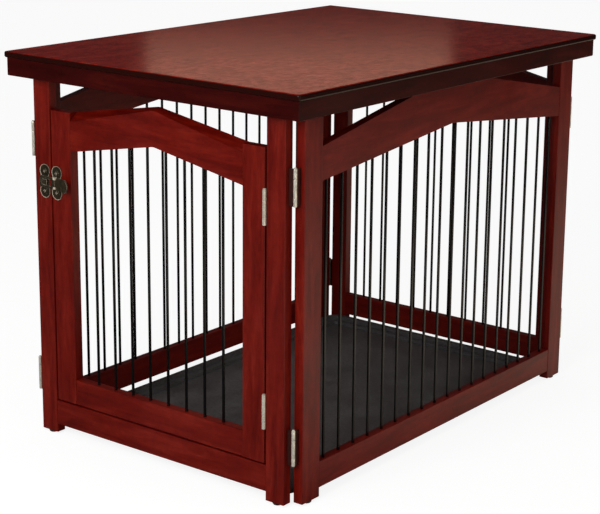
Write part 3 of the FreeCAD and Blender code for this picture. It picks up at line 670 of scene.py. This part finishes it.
def make_latch_screws():
    """Pan-head screws, two on each latch plate."""
    for node, body in (("latch_post_plate", "frame"), ("latch_door_plate", "door")):
        low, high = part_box(node)
        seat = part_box("latch_post_plate")[0][1] + PLATE_RECESS
        centre_x = (low[0] + high[0]) / 2
        for number, z in enumerate((low[2] + SCREW_INSET, high[2] - SCREW_INSET)):
            screw = add_cylinder(SCREW_HEAD_RADIUS, 0, SCREW_HEAD_HEIGHT, 0, 0, BARREL_SIDES)
            bpy.ops.object.transform_apply(location=True, rotation=False, scale=False)
            choose_edges(screw, lambda place: place.z > SCREW_HEAD_HEIGHT - TOUCHING)
            bpy.ops.mesh.bevel(offset=SCREW_HEAD_HEIGHT * SCREW_CROWN, segments=CROWN_STEPS, affect="EDGES")
            close_edit()
            for reach in ((SCREW_SLOT_REACH, SCREW_SLOT_WIDTH / 2), (SCREW_SLOT_WIDTH / 2, SCREW_SLOT_REACH)):
                cutter = add_block((-reach[0], -reach[1], SCREW_HEAD_HEIGHT - SCREW_SLOT_DEPTH),
                                   (reach[0], reach[1], SCREW_HEAD_HEIGHT * 2))
                combine(screw, cutter, "DIFFERENCE")
            screw.matrix_world = (Matrix.Translation((centre_x, seat, z))
                                  @ FACING_FRONT)
            settle(screw, node.replace("plate", "screw") + "_" + str(number + 1))
            screw.data.materials.append(aged_brass)
            hand_over(screw, body, "antique_brass")


# ---------------------------------------------------------------- floor, light and camera
def make_floor():
    clear_selection()
    bpy.ops.mesh.primitive_plane_add(size=FLOOR_HALF * 2, location=(0, 0, 0))
    floor = bpy.context.active_object
    floor.name = "studio_floor"
    material, tree, shader = new_material("pale_floor")
    path = add_node(tree, "ShaderNodeLightPath")
    place = add_node(tree, "ShaderNodeTexCoord").outputs["Object"]
    axes = add_node(tree, "ShaderNodeSeparateXYZ")
    tree.links.new(place, axes.inputs["Vector"])
    across = add_node(tree, "ShaderNodeMath", operation="MULTIPLY_ADD")
    across.inputs[1].default_value = 0.5
    tree.links.new(axes.outputs["Y"], across.inputs[0])
    tree.links.new(axes.outputs["X"], across.inputs[2])
    reach = spread(tree, across.outputs["Value"], 0.0, 1.0, 0.0, 4.0)
    paper = ramp(tree, reach, [(0.02, (0.05, 0.05, 0.05)), (0.14, (1.60, 1.42, 1.12)),
                               (0.46, (1.50, 1.33, 1.06)), (0.74, (0.06, 0.05, 0.04))])
    colour = blend_colours(tree, "MIX", path.outputs["Is Glossy Ray"], (0.95, 0.95, 0.95), paper)
    tree.links.new(colour, shader.inputs["Base Color"])
    shader.inputs["Roughness"].default_value = 0.9
    shader.inputs["Specular IOR Level"].default_value = 0.0
    white = add_node(tree, "ShaderNodeEmission")
    white.inputs["Strength"].default_value = PAPER_GLOW
    share = add_node(tree, "ShaderNodeMath", operation="MULTIPLY")
    share.inputs[1].default_value = PAPER_WHITE
    tree.links.new(path.outputs["Is Camera Ray"], share.inputs[0])
    mix = add_node(tree, "ShaderNodeMixShader")
    tree.links.new(share.outputs["Value"], mix.inputs[0])
    tree.links.new(shader.outputs["BSDF"], mix.inputs[1])
    tree.links.new(white.outputs["Emission"], mix.inputs[2])
    tree.links.new(mix.outputs["Shader"], tree.nodes["Material Output"].inputs["Surface"])
    floor.data.materials.append(material)


def make_world():
    """White seen directly, an even white fill for the light, and a dim room in the reflections."""
    world = bpy.data.worlds.new("studio")
    bpy.context.scene.world = world
    world.use_nodes = True
    tree = world.node_tree
    background = tree.nodes["Background"]
    path = add_node(tree, "ShaderNodeLightPath")
    fill = blend_colours(tree, "MIX", path.outputs["Is Glossy Ray"], (FILL_LEVEL,) * 3, (ROOM_LEVEL,) * 3)
    seen = blend_colours(tree, "MIX", path.outputs["Is Camera Ray"], fill, (1.0, 1.0, 1.0))
    tree.links.new(seen, background.inputs["Color"])
    background.inputs["Strength"].default_value = 1.0


def add_softbox(name, place, target, width, height, power, colour=(1.0, 1.0, 1.0)):
    lamp_data = bpy.data.lights.new(name, "AREA")
    lamp_data.shape = "RECTANGLE"
    lamp_data.size = width
    lamp_data.size_y = height
    lamp_data.energy = power
    lamp_data.color = colour
    lamp = bpy.data.objects.new(name, lamp_data)
    bpy.context.scene.collection.objects.link(lamp)
    lamp.location = place
    lamp.visible_camera = False
    lamp.rotation_euler = (Vector(target) - Vector(place)).to_track_quat("-Z", "Y").to_euler()
    return lamp


def make_lights():
    add_softbox("key_softbox", (0.3, -2.1, 1.4), (0.05, -0.4, 0.35), 1.1, 1.1, 23)
    add_softbox("side_softbox", (2.3, 0.3, 0.8), (0.3, -0.1, 0.25), 1.2, 1.2, 4, (1.0, 0.92, 0.80))
    add_softbox("sheen_softbox", (-0.66, 0.78, 0.90), (0.3, -0.4, 0.635), 0.7, 0.14, 0.30, (1.0, 0.52, 0.36))


def make_camera():
    camera_data = bpy.data.cameras.new("camera")
    camera_data.sensor_width = SENSOR_WIDTH
    camera_data.lens = SENSOR_WIDTH * FOCAL_PIXELS / IMAGE_WIDTH
    camera_data.shift_x = SHIFT_RIGHT
    camera_data.shift_y = SHIFT_UP
    camera_data.clip_end = VIEW_DEPTH
    camera = bpy.data.objects.new("camera", camera_data)
    bpy.context.scene.collection.objects.link(camera)
    heading = Euler((math.radians(90 + CAMERA_TILT), 0, math.radians(CAMERA_HEADING))).to_matrix()
    turned = heading @ Matrix.Rotation(math.radians(CAMERA_ROLL), 3, "Z")
    camera.rotation_euler = turned.to_euler()
    camera.location = CAMERA_PLACE
    bpy.context.scene.camera = camera


# ---------------------------------------------------------------- the scene
finish_wood()
finish_hardware()
for rods_node, rods_body in (("left_rods", "frame"), ("right_rods", "frame"), ("back_rods", "frame"),
                             ("door_rods", "door")):
    make_rods(rods_node, rods_body)
make_corner_hinges()
make_latch_plates()
make_latch_screws()
make_floor()
make_world()
make_lights()
make_camera()
bpy.context.scene.view_settings.view_transform = "Standard"
